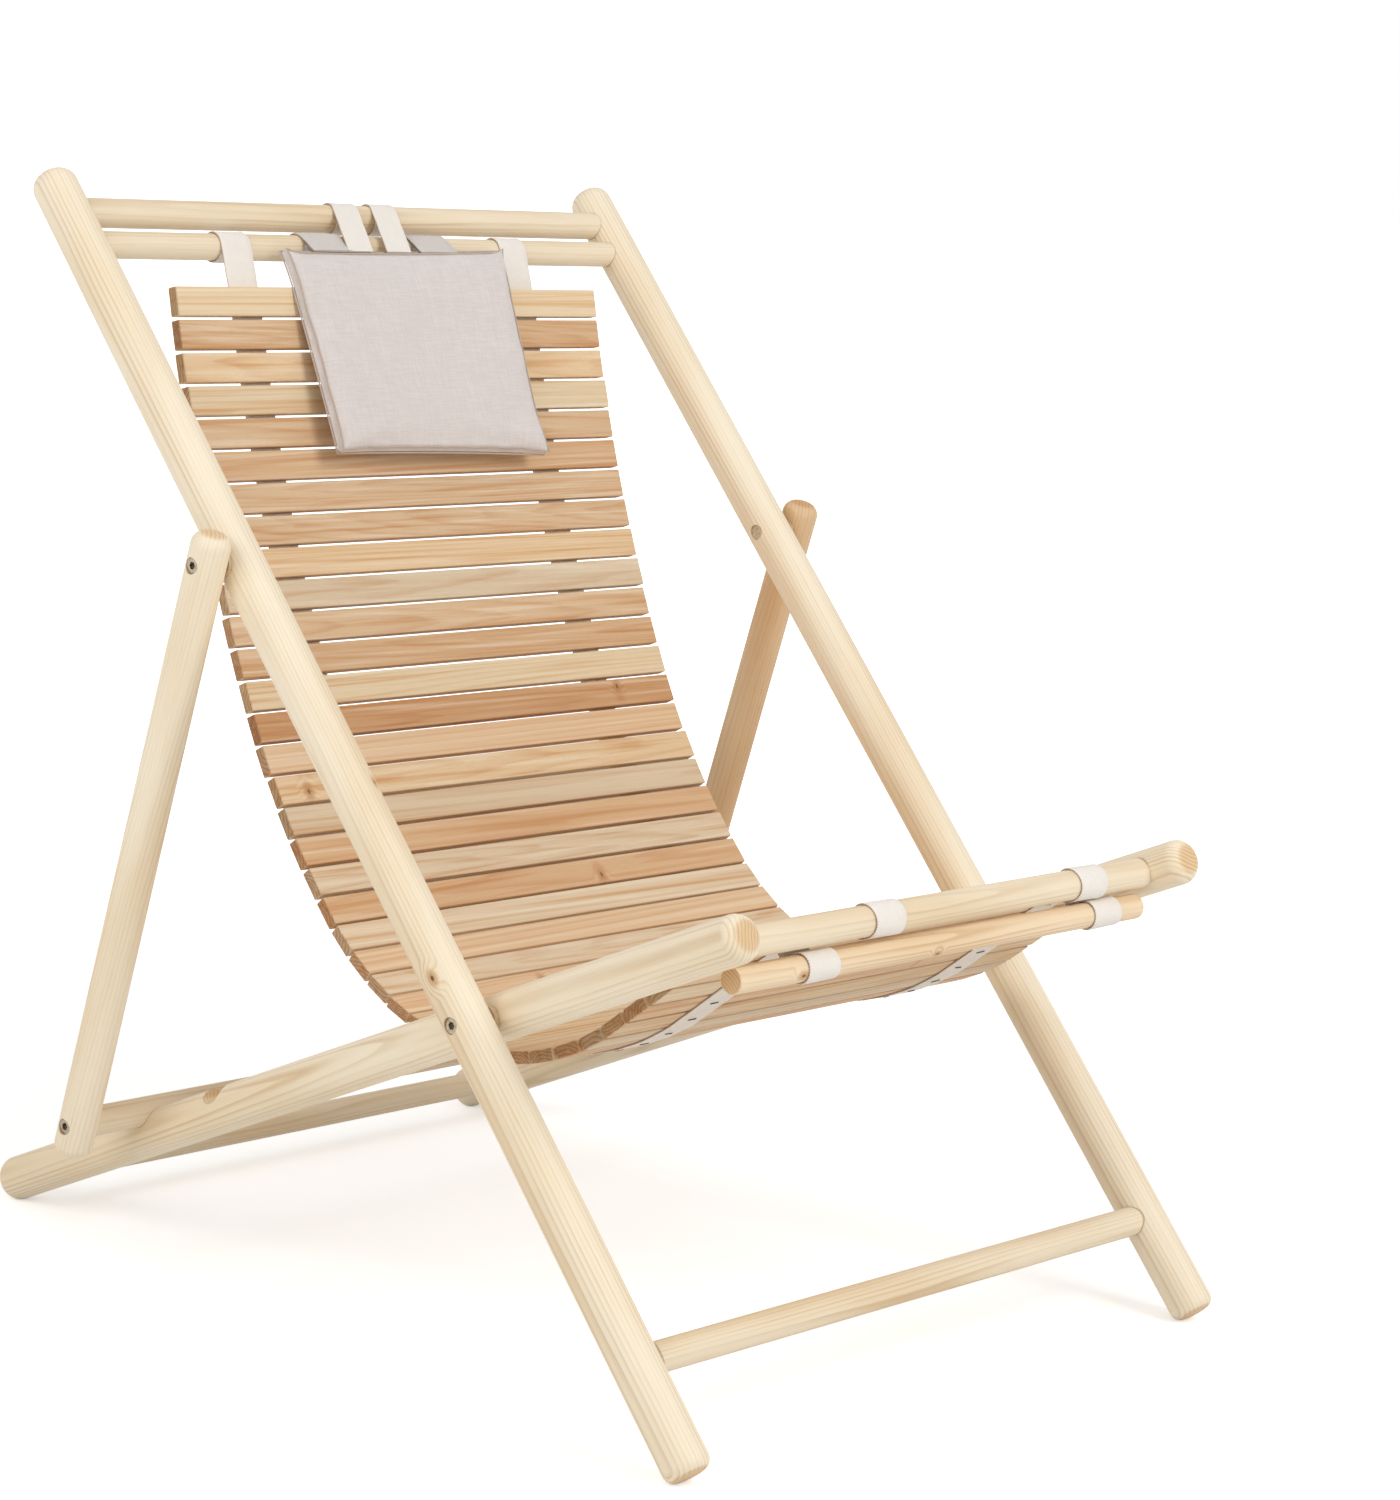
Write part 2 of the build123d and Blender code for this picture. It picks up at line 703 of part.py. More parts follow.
with BuildPart() as pillow:
    with BuildSketch(pillow_level(0)) as underside:
        with BuildLine():
            pillow_outline(0)
        make_face()
    extrude(underside.sketch, amount=pillow_edge)
    crown = pillow_thickness - pillow_edge
    for share in (0.0, 0.55, 0.85, 1.0):
        with BuildSketch(pillow_level(pillow_edge + crown * share)) as level:
            with BuildLine():
                pillow_outline(pillow_crown_inset * (1 - (1 - share) ** 0.5))
            make_face()
    loft()
pillow.part.label = "pillow"
export_step(pillow.part, "parts/pillow.step")


def hanger(rail_at, radius, thickness, middle_x, width, clearance):
    """Band round a rail with a tail down towards the pillow's top seam."""
    slope = tangent_angle(pillow_seam, rail_at, radius)
    end = along(pillow_seam, slope, clearance)
    band_tail(rail_at, radius, thickness, end, middle_x, width)
    band(rail_at, radius, thickness, middle_x, width)


with BuildPart() as pillow_straps:
    for middle_x in (pillow_strap_left_x, pillow_strap_right_x):
        hanger(
            head_rail_at,
            rail_radius + seat_clearance,
            webbing_thickness,
            middle_x,
            pillow_strap_width,
            strap_seam_clearance,
        )
pillow_straps.part.label = "pillow_straps"
export_step(pillow_straps.part, "parts/pillow_straps.step")

with BuildPart() as pillow_tabs:
    for middle_x in (pillow_tab_left_x, pillow_tab_right_x):
        hanger(
            sling_rail_at,
            loop_radius,
            pillow_tab_thickness,
            middle_x,
            pillow_tab_width,
            tab_seam_clearance,
        )
pillow_tabs.part.label = "pillow_tabs"
export_step(pillow_tabs.part, "parts/pillow_tabs.step")
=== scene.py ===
"""Looks of a folding lounge chair: pine poles, a sling of fir slats on cotton straps, a linen pillow."""

import random
from math import acos, atan2, cos, degrees, hypot, pi, radians, sin

import bpy
from mathutils import Euler, Matrix, Vector


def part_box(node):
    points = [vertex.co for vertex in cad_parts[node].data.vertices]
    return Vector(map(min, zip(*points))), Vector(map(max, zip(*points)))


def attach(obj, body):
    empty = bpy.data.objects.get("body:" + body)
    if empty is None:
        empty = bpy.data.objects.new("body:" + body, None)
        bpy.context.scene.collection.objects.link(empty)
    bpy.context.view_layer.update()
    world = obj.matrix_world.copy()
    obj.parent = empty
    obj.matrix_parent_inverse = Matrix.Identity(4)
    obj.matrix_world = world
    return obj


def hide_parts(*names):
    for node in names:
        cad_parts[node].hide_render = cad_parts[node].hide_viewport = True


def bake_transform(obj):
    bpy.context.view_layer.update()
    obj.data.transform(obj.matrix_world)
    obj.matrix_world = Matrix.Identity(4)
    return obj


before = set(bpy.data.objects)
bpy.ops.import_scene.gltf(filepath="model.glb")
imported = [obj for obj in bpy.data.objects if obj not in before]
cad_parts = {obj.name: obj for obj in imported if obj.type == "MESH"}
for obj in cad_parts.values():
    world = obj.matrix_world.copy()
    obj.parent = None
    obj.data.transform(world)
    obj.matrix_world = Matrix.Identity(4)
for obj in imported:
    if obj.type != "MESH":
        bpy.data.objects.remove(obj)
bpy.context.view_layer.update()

# Sling, in metres and degrees
slat_length = 0.526
slat_width = 0.026
slat_thickness = 0.011
slat_round = 0.0011
slat_end_ease = 0.0007
slat_gap = 0.0034
slat_pitch = slat_width + slat_gap
slat_count = 37
first_slat_ahead_of_rail = 0.0305
first_slat_below_rail = 0.0467
first_slat_heading = 75.8
back_slats = 13
waist_slats = 7
back_turn = 1.0
waist_turn = 2.45
seat_turn = 6.6
panel_ends = (6, 11, 16, 21, 25, 29, 33, slat_count)

# Straps, loops and staples, with laps from the last slat's middle and creases in radians a metre
strap_x = 0.174
strap_width = 0.035
strap_gap = 0.00015
cloth_thickness = 0.0016
tab_thickness = 0.002
loop_gap = 0.0003
top_loop_width = 0.035
front_loop_width = 0.038
rail_loops_x = (-0.086, 0.188)
rail_loop_lap = 0.009
rod_loops_x = (-0.166, 0.211)
rod_loop_lap = 0.004
cloth_edge_share = 0.35
crease_rate = 260
pillow_straps_x = (-0.027, 0.021)
pillow_strap_width = 0.031
pillow_strap_lean = 0.27
pillow_tabs_x = (-0.069, 0.065)
pillow_tab_width = 0.048
seam_overlap = 0.0005
staple_width = 0.010
staple_wire = 0.0012
staple_height = 0.0008
staple_round = 0.0003
staple_ease = 0.0004
staple_tilt = 0.0012

# Pillow
pillow_width = 0.276
pillow_height = 0.190
pillow_centre_x = 0.006
pillow_above_slats = 0.0345
pillow_lean = 10.0
pillow_draw = 0.0015
pillow_start = 0.0085
pillow_swell = 0.0042
pillow_bend = 0.003
pillow_foot_draw = 0.016
pillow_top_shift = 0.002
pillow_foot_shift = -0.0045
pillow_right_rise = 0.004
pillow_right_drop = 0.008
pillow_back_lift = 0.0002
pillow_columns = 46
pillow_rows = 32
band_rows = 3
stuffing_steps = 20
seam_radius = 0.0008
seam_stitch = 0.006

# Stage: lamps in watts, the floor's glow near the chair and far from it
floor_half = 30
floor_drop = 0.0005
floor_near, floor_far = 0.8, 2.6
near_glow, far_glow = 0.42, 1.0
room_light = 0.56
chair_middle = (0, 0, 0.45)
key_watts = 66
fill_watts = 40

# Camera: place, aim and lens for a frame of 1400 x 1500
camera_place = (-2.50095, -2.30279, 1.07406)
camera_yaw = 48.608
camera_pitch = -9.983
camera_roll = 4.311
sensor_height = 24.0
focal_length = 62.72


def srgb(red, green, blue):
    """A colour as seen, 0 to 255, as the linear colour that a shader takes."""
    linear = []
    for value in (red, green, blue):
        share = value / 255
        linear.append(share / 12.92 if share <= 0.04045 else ((share + 0.055) / 1.055) ** 2.4)
    return (*linear, 1.0)


# Side view geometry: points are (y, z), angles in degrees
def along(start, angle, distance):
    """Point at a distance from a start, in the direction of an angle."""
    return (start[0] + distance * cos(radians(angle)), start[1] + distance * sin(radians(angle)))


def apart(one, other):
    return hypot(one[0] - other[0], one[1] - other[1])


def node_middle(node):
    """Middle of a rail in the side view."""
    low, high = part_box(node)
    return ((low.y + high.y) / 2, (low.z + high.z) / 2)


def node_radius(node):
    low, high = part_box(node)
    return (high.z - low.z) / 2


head_rail_at = node_middle("head_rail")
sling_rail_at = node_middle("sling_rail")
front_rail_at = node_middle("front_rail")
rod_at = node_middle("rod")

slat_at = [(sling_rail_at[0] - first_slat_ahead_of_rail, sling_rail_at[1] - first_slat_below_rail)]
slat_heading = [first_slat_heading]


def turn_after(number):
    """How far the sling turns after a slat: in the seat it turns until it points at the front rail."""
    if number < back_slats:
        return back_turn
    if number < back_slats + waist_slats:
        return waist_turn
    place = slat_at[number - 1]
    ahead = degrees(atan2(front_rail_at[1] - place[1], front_rail_at[0] - place[0]))
    left_to_turn = (slat_heading[number - 1] - ahead) % 360 - 180
    half_step = slat_pitch / (2 * apart(place, front_rail_at))
    return min(seat_turn, left_to_turn / (1 - half_step))


for number in range(1, slat_count):
    turn = turn_after(number)
    slat_at.append(along(slat_at[-1], slat_heading[-1] - turn / 2 + 180, slat_pitch))
    slat_heading.append(slat_heading[-1] - turn)


def on_slat(number, forward, outward):
    """Point by a slat, forward along the sling's run and outward from the slat's back face."""
    run = along(slat_at[number - 1], slat_heading[number - 1] + 180, forward)
    return along(run, slat_heading[number - 1] - 90, outward)


def at_break(number, outward):
    """Point in the gap after a slat, outward from the back faces' run."""
    before = slat_at[number - 1]
    after = slat_at[number]
    middle = ((before[0] + after[0]) / 2, (before[1] + after[1]) / 2)
    return along(middle, (slat_heading[number - 1] + slat_heading[number]) / 2 - 90, outward)


class Shell:
    """Points, faces and point values of one piece, lofted from rings."""

    def __init__(self):
        self.points = []
        self.faces = []
        self.values = {}

    def loft(self, rings, capped=True, **values):
        """Skin over rings of equal length. Each value is a list like the rings, one vector a point."""
        start = len(self.points)
        size = len(rings[0])
        for ring in rings:
            self.points.extend(ring)
        for name, lists in values.items():
            self.values.setdefault(name, []).extend(value for one in lists for value in one)
        for step in range(len(rings) - 1):
            low = start + step * size
            for side in range(size):
                after = (side + 1) % size
                self.faces.append((low + side, low + after, low + size + after, low + size + side))
        if capped:
            last = start + (len(rings) - 1) * size
            self.faces.append(tuple(range(start + size - 1, start - 1, -1)))
            self.faces.append(tuple(range(last, last + size)))

    def piece(self, name, material, body, nodes=(), slot=None, sharp=38.0):
        """The piece as an object that rides on a body, if one is given, and stands for CAD nodes."""
        mesh = bpy.data.meshes.new(name)
        mesh.from_pydata(self.points, [], self.faces)
        mesh.update()
        mesh.polygons.foreach_set("use_smooth", [True] * len(mesh.polygons))
        mesh.set_sharp_from_angle(angle=radians(sharp))
        for title, values in self.values.items():
            kind = "FLOAT_COLOR" if len(values[0]) == 4 else "FLOAT_VECTOR"
            layer = mesh.attributes.new(title, kind, "POINT")
            flat = [number for value in values for number in value]
            layer.data.foreach_set("color" if kind == "FLOAT_COLOR" else "vector", flat)
        mesh.materials.append(material)
        piece = bpy.data.objects.new(name, mesh)
        bpy.context.scene.collection.objects.link(piece)
        if body:
            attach(piece, body)
        if nodes:
            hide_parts(*nodes)
        return piece


class Graph:
    """A material's nodes, with short calls for the kinds that the chair's materials use."""

    def __init__(self, name, roughness=0.6, specular=0.35):
        self.material = bpy.data.materials.new(name)
        self.material.use_nodes = True
        self.tree = self.material.node_tree
        self.shader = self.tree.nodes["Principled BSDF"]
        self.shader.inputs["Roughness"].default_value = roughness
        self.shader.inputs["Specular IOR Level"].default_value = specular

    def put(self, socket, value):
        """A link where the value is a socket, else a constant."""
        if isinstance(value, bpy.types.NodeSocket):
            self.tree.links.new(value, socket)
        else:
            socket.default_value = value

    def node(self, kind, **settings):
        made = self.tree.nodes.new("ShaderNode" + kind)
        for name, value in settings.items():
            setattr(made, name, value)
        return made

    def shade(self, name, value):
        self.put(self.shader.inputs[name], value)

    def math(self, operation, first, second=0.0, third=0.0):
        made = self.node("Math", operation=operation)
        for socket, value in zip(made.inputs, (first, second, third)):
            self.put(socket, value)
        return made.outputs[0]

    def vector(self, operation, first, second=(0.0, 0.0, 0.0)):
        made = self.node("VectorMath", operation=operation)
        self.put(made.inputs[0], first)
        self.put(made.inputs[1], second)
        return made.outputs["Value" if operation in ("LENGTH", "DISTANCE", "DOT_PRODUCT") else "Vector"]

    def parts(self, value):
        made = self.node("SeparateXYZ")
        self.put(made.inputs[0], value)
        return made.outputs[:3]

    def joined(self, x, y, z):
        made = self.node("CombineXYZ")
        for socket, value in zip(made.inputs, (x, y, z)):
            self.put(socket, value)
        return made.outputs[0]

    def attribute(self, name, output="Vector"):
        return self.node("Attribute", attribute_name=name).outputs[output]

    def turned(self, place, euler):
        """Object coordinates seen from a place, with Z along the piece."""
        made = self.node("Mapping", vector_type="TEXTURE")
        self.put(made.inputs["Vector"], self.node("TexCoord").outputs["Object"])
        made.inputs["Location"].default_value = place
        made.inputs["Rotation"].default_value = euler
        return made.outputs[0]

    def noise(self, vector, scale, detail=2.0, roughness=0.5):
        made = self.node("TexNoise")
        self.put(made.inputs["Vector"], vector)
        for name, value in (("Scale", scale), ("Detail", detail), ("Roughness", roughness)):
            made.inputs[name].default_value = value
        return made.outputs["Fac"]

    def ramp(self, factor, *stops):
        """Colours or greys along a factor from 0 to 1."""
        made = self.node("ValToRGB")
        band = made.color_ramp
        while len(band.elements) < len(stops):
            band.elements.new(1.0)
        for element, (position, colour) in zip(band.elements, stops):
            element.position = position
            element.color = colour if isinstance(colour, tuple) else (colour, colour, colour, 1.0)
        self.put(made.inputs[0], factor)
        return made.outputs[0]

    def fade(self, value, start, end, low=0.0, high=1.0):
        """Smooth step from low to high between a start and an end."""
        made = self.node("MapRange", interpolation_type="SMOOTHSTEP")
        self.put(made.inputs["Value"], value)
        for name, number in (("From Min", start), ("From Max", end), ("To Min", low), ("To Max", high)):
            made.inputs[name].default_value = number
        return made.outputs[0]

    def mix(self, factor, first, second, blend="MIX"):
        made = self.node("Mix", data_type="RGBA", blend_type=blend)
        self.put(made.inputs[0], factor)
        self.put(made.inputs[6], first)
        self.put(made.inputs[7], second)
        return made.outputs[2]

    def bump(self, height, strength, distance):
        made = self.node("Bump")
        made.inputs["Strength"].default_value = strength
        made.inputs["Distance"].default_value = distance
        self.put(made.inputs["Height"], height)
        self.shade("Normal", made.outputs[0])


pith_white = srgb(250, 240, 219)
pine_shades = (srgb(245, 232, 207), srgb(203, 168, 122), srgb(237, 217, 184))
pine_contrast = 0.64


def wood_rings(graph, local, pith, ring, wander):
    """Count of growth rings out from a pith line along Z, which sways along the piece."""
    stretched = graph.vector("MULTIPLY", local, (1.0, 1.0, 0.12))
    sway = graph.noise(stretched, 14.0, 2.0)
    ripple = graph.noise(stretched, 70.0, 2.0)
    x, y, _ = graph.parts(local)
    across = graph.joined(graph.math("SUBTRACT", x, pith[0]), graph.math("SUBTRACT", y, pith[1]), 0.0)
    radius = graph.vector("LENGTH", across)
    radius = graph.math("MULTIPLY_ADD", sway, wander, radius)
    radius = graph.math("MULTIPLY_ADD", ripple, wander * 0.12, radius)
    return graph.math("DIVIDE", radius, ring)


def late_wood(graph, count):
    """Dark edge of each ring, from a count of rings."""
    share = graph.math("FRACT", count)
    early = ((0.0, 0.12), (0.12, 0.0), (0.5, 0.08))
    late = ((0.86, 1.0), (0.97, 0.75), (1.0, 0.12))
    return graph.ramp(share, *early, *late)


def pole_wood(
    name,
    place,
    euler,
    pith,
    ring=0.0034,
    wander=0.012,
    contrast=pine_contrast,
    knots=(),
    shades=pine_shades,
    joint=None,
):
    """Pale turned pine: rings that run out along the pole, fibres, small knots, and painted shade: a thin
    dark line where a rail meets its pole, standing in for the contact shadow.
    """
    pale, dark, warm = shades
    graph = Graph(name, roughness=0.55, specular=0.3)
    local = graph.turned(place, euler)
    count = wood_rings(graph, local, pith, ring, wander)
    knot_core = 0.0
    knot_rim = 0.0
    for centre, size in knots:
        offset = graph.vector("MULTIPLY", graph.vector("SUBTRACT", local, centre), (1.0, 1.0, 0.62))
        distance = graph.vector("LENGTH", offset)
        count = graph.math("ADD", count, graph.fade(distance, 0.0, size * 3.2, 2.6, 0.0))
        core = graph.fade(distance, size * 0.2, size * 0.55, 1.0, 0.0)
        rim = graph.fade(distance, size * 0.6, size * 1.7, 0.75, 0.0)
        knot_core = graph.math("MAXIMUM", knot_core, core)
        knot_rim = graph.math("MAXIMUM", knot_rim, rim)
    lines = late_wood(graph, count)
    uneven = graph.noise(graph.vector("MULTIPLY", local, (1.0, 1.0, 0.08)), 45.0, 3.0)
    each = graph.noise(graph.joined(graph.math("FLOOR", count), 0.0, 0.0), 3.7, 0.0)
    strength = graph.math("MULTIPLY", lines, graph.fade(uneven, 0.3, 0.7, contrast * 0.2, contrast))
    strength = graph.math("MULTIPLY", strength, graph.fade(each, 0.35, 0.6, 0.35, 1.0))
    blotch = graph.noise(graph.vector("MULTIPLY", local, (1.0, 1.0, 0.2)), 22.0, 2.0)
    fibre = graph.noise(graph.vector("MULTIPLY", local, (1.0, 1.0, 0.02)), 900.0, 3.0, 0.65)
    colour = graph.mix(graph.fade(blotch, 0.35, 0.75), pale, warm)
    colour = graph.mix(strength, colour, dark)
    colour = graph.mix(graph.fade(fibre, 0.45, 0.8, 0.0, 0.16), colour, dark)
    if knots:
        colour = graph.mix(knot_rim, colour, srgb(196, 150, 96))
        colour = graph.mix(knot_core, colour, srgb(120, 78, 44))
    # Painted shade: the rail darkens in a thin band just outside its pole's surface, standing in for the
    # contact shadow in the joint.
    if joint:
        pole_at, pole_run, pole_radius = joint
        x, y, z = graph.parts(graph.node("TexCoord").outputs["Object"])
        offset = graph.vector("SUBTRACT", graph.joined(graph.math("ABSOLUTE", x), y, z), pole_at)
        from_pole = graph.vector("LENGTH", graph.vector("CROSS_PRODUCT", offset, pole_run))
        seam = graph.fade(from_pole, pole_radius + 0.0004, pole_radius + 0.0016, 0.5, 0.0)
        colour = graph.mix(seam, colour, srgb(128, 92, 60))
    axis = Euler(euler).to_matrix() @ Vector((0, 0, 1))
    facing = graph.vector("DOT_PRODUCT", graph.node("TexCoord").outputs["Normal"], tuple(axis))
    end_grain = graph.mix(1.0, colour, srgb(240, 222, 200), "MULTIPLY")
    end_grain = graph.mix(graph.math("MULTIPLY", lines, 0.32), end_grain, srgb(176, 132, 86))
    colour = graph.mix(graph.fade(graph.math("ABSOLUTE", facing), 0.75, 0.98), colour, end_grain)
    graph.shade("Base Color", colour)
    graph.shade("Roughness", graph.fade(fibre, 0.2, 0.8, 0.48, 0.66))
    height = graph.math("MULTIPLY_ADD", lines, -0.4, fibre)
    graph.bump(height, 0.22, 0.0006)
    return graph.material


def slat_wood():
    """Planed fir: each slat has its own stain, ring centre and knot, kept on its points."""
    graph = Graph("slat_wood", roughness=0.6, specular=0.25)
    grain = graph.attribute("grain")
    stain = graph.attribute("stain", "Color")
    knot = graph.attribute("knot")
    slow = graph.vector("MULTIPLY", grain, (2.6, 0.3, 0.3))
    fast = graph.vector("MULTIPLY", grain, (9.0, 5.0, 5.0))
    sway = graph.noise(slow, 1.2, 1.0)
    streak = graph.noise(graph.vector("MULTIPLY", grain, (1.4, 1.0, 1.0)), 0.55, 2.0)
    fibre = graph.noise(fast, 2.4, 3.0, 0.6)
    radius = graph.vector("LENGTH", graph.vector("MULTIPLY", grain, (0.0, 1.0, 1.0)))
    count = graph.math("MULTIPLY_ADD", sway, 1.3, radius)
    distance = graph.vector("LENGTH", graph.vector("MULTIPLY", knot, (0.9, 0.55, 0.4)))
    count = graph.math("ADD", count, graph.fade(distance, 0.0, 0.014, 1.1, 0.0))
    lines = late_wood(graph, count)
    darker = graph.mix(1.0, stain, srgb(222, 180, 138), "MULTIPLY")
    warmer = graph.mix(1.0, stain, srgb(238, 208, 176), "MULTIPLY")
    paler = graph.mix(0.5, stain, pith_white)
    colour = graph.mix(graph.fade(streak, 0.52, 0.72, 0.0, 0.75), stain, warmer)
    colour = graph.mix(graph.fade(streak, 0.48, 0.30, 0.0, 0.55), colour, paler)
    strength = graph.math("MULTIPLY", lines, graph.fade(streak, 0.3, 0.7, 0.16, 0.42))
    colour = graph.mix(strength, colour, darker)
    colour = graph.mix(graph.fade(fibre, 0.45, 0.8, 0.0, 0.30), colour, darker)
    colour = graph.mix(graph.fade(distance, 0.0020, 0.0075, 0.6, 0.0), colour, srgb(176, 122, 78))
    colour = graph.mix(graph.fade(distance, 0.0006, 0.0020, 0.8, 0.0), colour, srgb(112, 72, 46))
    facing = graph.math("ABSOLUTE", graph.parts(graph.node("TexCoord").outputs["Normal"])[0])
    end_shade = graph.mix(1.0, colour, srgb(214, 196, 178), "MULTIPLY")
    end_shade = graph.mix(graph.math("MULTIPLY", lines, 0.45), end_shade, srgb(112, 76, 50))
    colour = graph.mix(graph.fade(facing, 0.6, 0.9), colour, end_shade)
    graph.shade("Base Color", colour)
    graph.shade("Roughness", graph.fade(fibre, 0.2, 0.8, 0.52, 0.7))
    graph.bump(graph.math("MULTIPLY_ADD", lines, -0.4, fibre), 0.15, 0.0004)
    return graph.material


def cotton(name, pale, shaded, edge, sheer=0.0):
    """Cotton webbing: a fine twill with a dark toothed line along its edges, partly the cloth's own sewn
    edge and partly painted shade where the edge stands off what it lies on. Sheer cloth lets light
    through.
    """
    graph = Graph(name, roughness=0.9, specular=0.12)
    graph.shader.inputs["Subsurface Weight"].default_value = sheer
    graph.shader.inputs["Subsurface Radius"].default_value = (1.0, 1.0, 1.0)
    graph.shader.inputs["Subsurface Scale"].default_value = 0.006
    graph.shader.inputs["Sheen Weight"].default_value = 0.25
    graph.shader.inputs["Sheen Roughness"].default_value = 0.5
    weave = graph.attribute("weave")
    run, across, half = graph.parts(weave)
    diagonal = graph.math("MULTIPLY", graph.math("ADD", run, across), 4200.0)
    twill = graph.math("SINE", diagonal)
    ribs = graph.math("SINE", graph.math("MULTIPLY", across, 6800.0))
    uneven = graph.noise(weave, 240.0, 3.0)
    cloth = graph.math("MULTIPLY_ADD", ribs, 0.35, graph.math("MULTIPLY_ADD", twill, 0.5, uneven))
    colour = graph.mix(graph.fade(cloth, -0.3, 1.2), shaded, pale)
    # Dark edge line: on the loops and tabs it is painted shade, the contact shadow where the cloth's edge
    # stands off a rail; on the webbing it is partly the strap's own brown edge and partly painted shade.
    teeth = graph.math("MULTIPLY", graph.math("PINGPONG", run, 0.0011), 0.5)
    rim = graph.math("SUBTRACT", half, graph.math("ABSOLUTE", across))
    rim = graph.math("ADD", rim, teeth)
    colour = graph.mix(graph.fade(rim, 0.0003, 0.0008, 0.85, 0.0), colour, edge)
    graph.shade("Base Color", colour)
    graph.bump(cloth, 0.5, 0.0003)
    return graph.material


def linen():
    """Warm grey linen: crossed threads of uneven thickness, with slubs both ways."""
    graph = Graph("pillow_linen", roughness=0.92, specular=0.1)
    graph.shader.inputs["Sheen Weight"].default_value = 0.3
    graph.shader.inputs["Sheen Roughness"].default_value = 0.55
    weave = graph.attribute("weave")
    run, across, third = graph.parts(weave)
    slub_up = graph.noise(graph.joined(graph.math("MULTIPLY", run, 0.06), across, third), 1000.0, 3.0)
    slub_over = graph.noise(graph.joined(run, graph.math("MULTIPLY", across, 0.06), third), 1000.0, 3.0)
    warp = graph.math("SINE", graph.math("MULTIPLY", across, 9000.0))
    weft = graph.math("SINE", graph.math("MULTIPLY", run, 9000.0))
    threads = graph.math("MULTIPLY", warp, weft)
    slubs = graph.math("ADD", slub_up, slub_over)
    cloth = graph.math("MULTIPLY_ADD", threads, 0.04, slubs)
    cloudy = graph.noise(weave, 26.0, 2.0)
    colour = graph.ramp(
        graph.fade(cloth, 0.65, 1.35),
        (0.0, srgb(211, 202, 197)),
        (0.5, srgb(217, 208, 204)),
        (1.0, srgb(223, 215, 211)),
    )
    colour = graph.mix(graph.fade(cloudy, 0.35, 0.7, 0.0, 0.15), colour, srgb(210, 201, 197))
    graph.shade("Base Color", colour)
    graph.bump(cloth, 0.16, 0.0003)
    return graph.material


def metal(name, tint, roughness):
    """Plated steel, a little uneven."""
    graph = Graph(name, roughness=roughness)
    graph.shader.inputs["Metallic"].default_value = 1.0
    place = graph.node("TexCoord").outputs["Object"]
    wear = graph.noise(place, 420.0, 3.0)
    graph.shade("Base Color", graph.mix(graph.fade(wear, 0.4, 0.8, 0.0, 0.5), tint, srgb(96, 92, 88)))
    graph.shade("Roughness", graph.fade(wear, 0.2, 0.8, roughness - 0.08, roughness + 0.14))
    graph.bump(wear, 0.12, 0.0003)
    return graph.material


def plastic(name, tint, shaded):
    """Moulded plastic with a faint grain."""
    graph = Graph(name, roughness=0.5, specular=0.4)
    grain = graph.noise(graph.node("TexCoord").outputs["Object"], 700.0, 2.0)
    graph.shade("Base Color", graph.mix(graph.fade(grain, 0.3, 0.7), tint, shaded))
    graph.bump(grain, 0.15, 0.0002)
    return graph.material


def dress(nodes, material):
    """Gives CAD nodes a material."""
    for name in nodes:
        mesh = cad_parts[name].data
        mesh.materials.clear()
        mesh.materials.append(material)


# Poles and rails
def pole_axis(node, upward):
    """Middle of a straight pole in the side view, and the euler that turns Z along it."""
    low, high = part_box(node)
    middle = (low + high) / 2
    rise = high.z - low.z
    reach = (high.y - low.y) * (1 if upward else -1)
    angle = atan2(rise, reach)
    return middle, (angle - pi / 2, 0.0, 0.0)


across_euler = (0.0, pi / 2, 0.0)
pole_piths = {
    "main_pole_left": (-0.062, 0.016),
    "main_pole_right": (-0.055, 0.030),
    "seat_pole_left": (0.058, -0.026),
    "seat_pole_right": (0.030, 0.060),
    "prop_leg_left": (-0.050, 0.045),
    "prop_leg_right": (0.046, -0.040),
}
pole_knots = {
    "main_pole_left": (((-0.0192, -0.0045, -0.182), 0.004), ((0.008, -0.0183, -0.008), 0.003)),
}
# Painted shade: the right prop leg stands in shade behind the slats, so its pine gets darker, warmer tones
# than the other poles.
painted_shade_pole_tones = {"prop_leg_right": (srgb(222, 190, 150), srgb(184, 140, 92), srgb(212, 174, 130))}
pole_contrasts = {"prop_leg_left": 0.42}
for node, pith in pole_piths.items():
    middle, euler = pole_axis(node, node.startswith("main"))
    pole_pine = pole_wood(
        node + "_pine",
        middle,
        euler,
        pith,
        contrast=pole_contrasts.get(node, pine_contrast),
        knots=pole_knots.get(node, ()),
        shades=painted_shade_pole_tones.get(node, pine_shades),
    )
    dress([node], pole_pine)

rail_piths = {
    "head_rail": (0.040, 0.050),
    "sling_rail": (-0.046, 0.034),
    "foot_rail": (0.020, -0.058),
    "front_rail": (0.046, 0.036),
    "prop_rail": (-0.040, -0.046),
    "rear_rail": (0.044, 0.030),
}
rail_poles = {
    "head_rail": "main_pole_right",
    "sling_rail": "main_pole_right",
    "foot_rail": "main_pole_right",
    "front_rail": "seat_pole_right",
    "prop_rail": "prop_leg_right",
    "rear_rail": "seat_pole_right",
}
rail_shades = (srgb(239, 223, 196), srgb(198, 162, 116), srgb(230, 208, 173))
# Each rail gets painted shade where it meets its pole: a thin dark line standing in for the contact
# shadow.
for node, pith in rail_piths.items():
    low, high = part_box(node)
    pole = rail_poles[node]
    pole_low, pole_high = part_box(pole)
    pole_middle, pole_euler = pole_axis(pole, pole.startswith("main"))
    pole_run = Euler(pole_euler).to_matrix() @ Vector((0, 0, 1))
    joint = (tuple(pole_middle), tuple(pole_run), (pole_high.x - pole_low.x) / 2)
    middle = (low + high) / 2
    dress([node], pole_wood(node + "_pine", middle, across_euler, pith, shades=rail_shades, joint=joint))

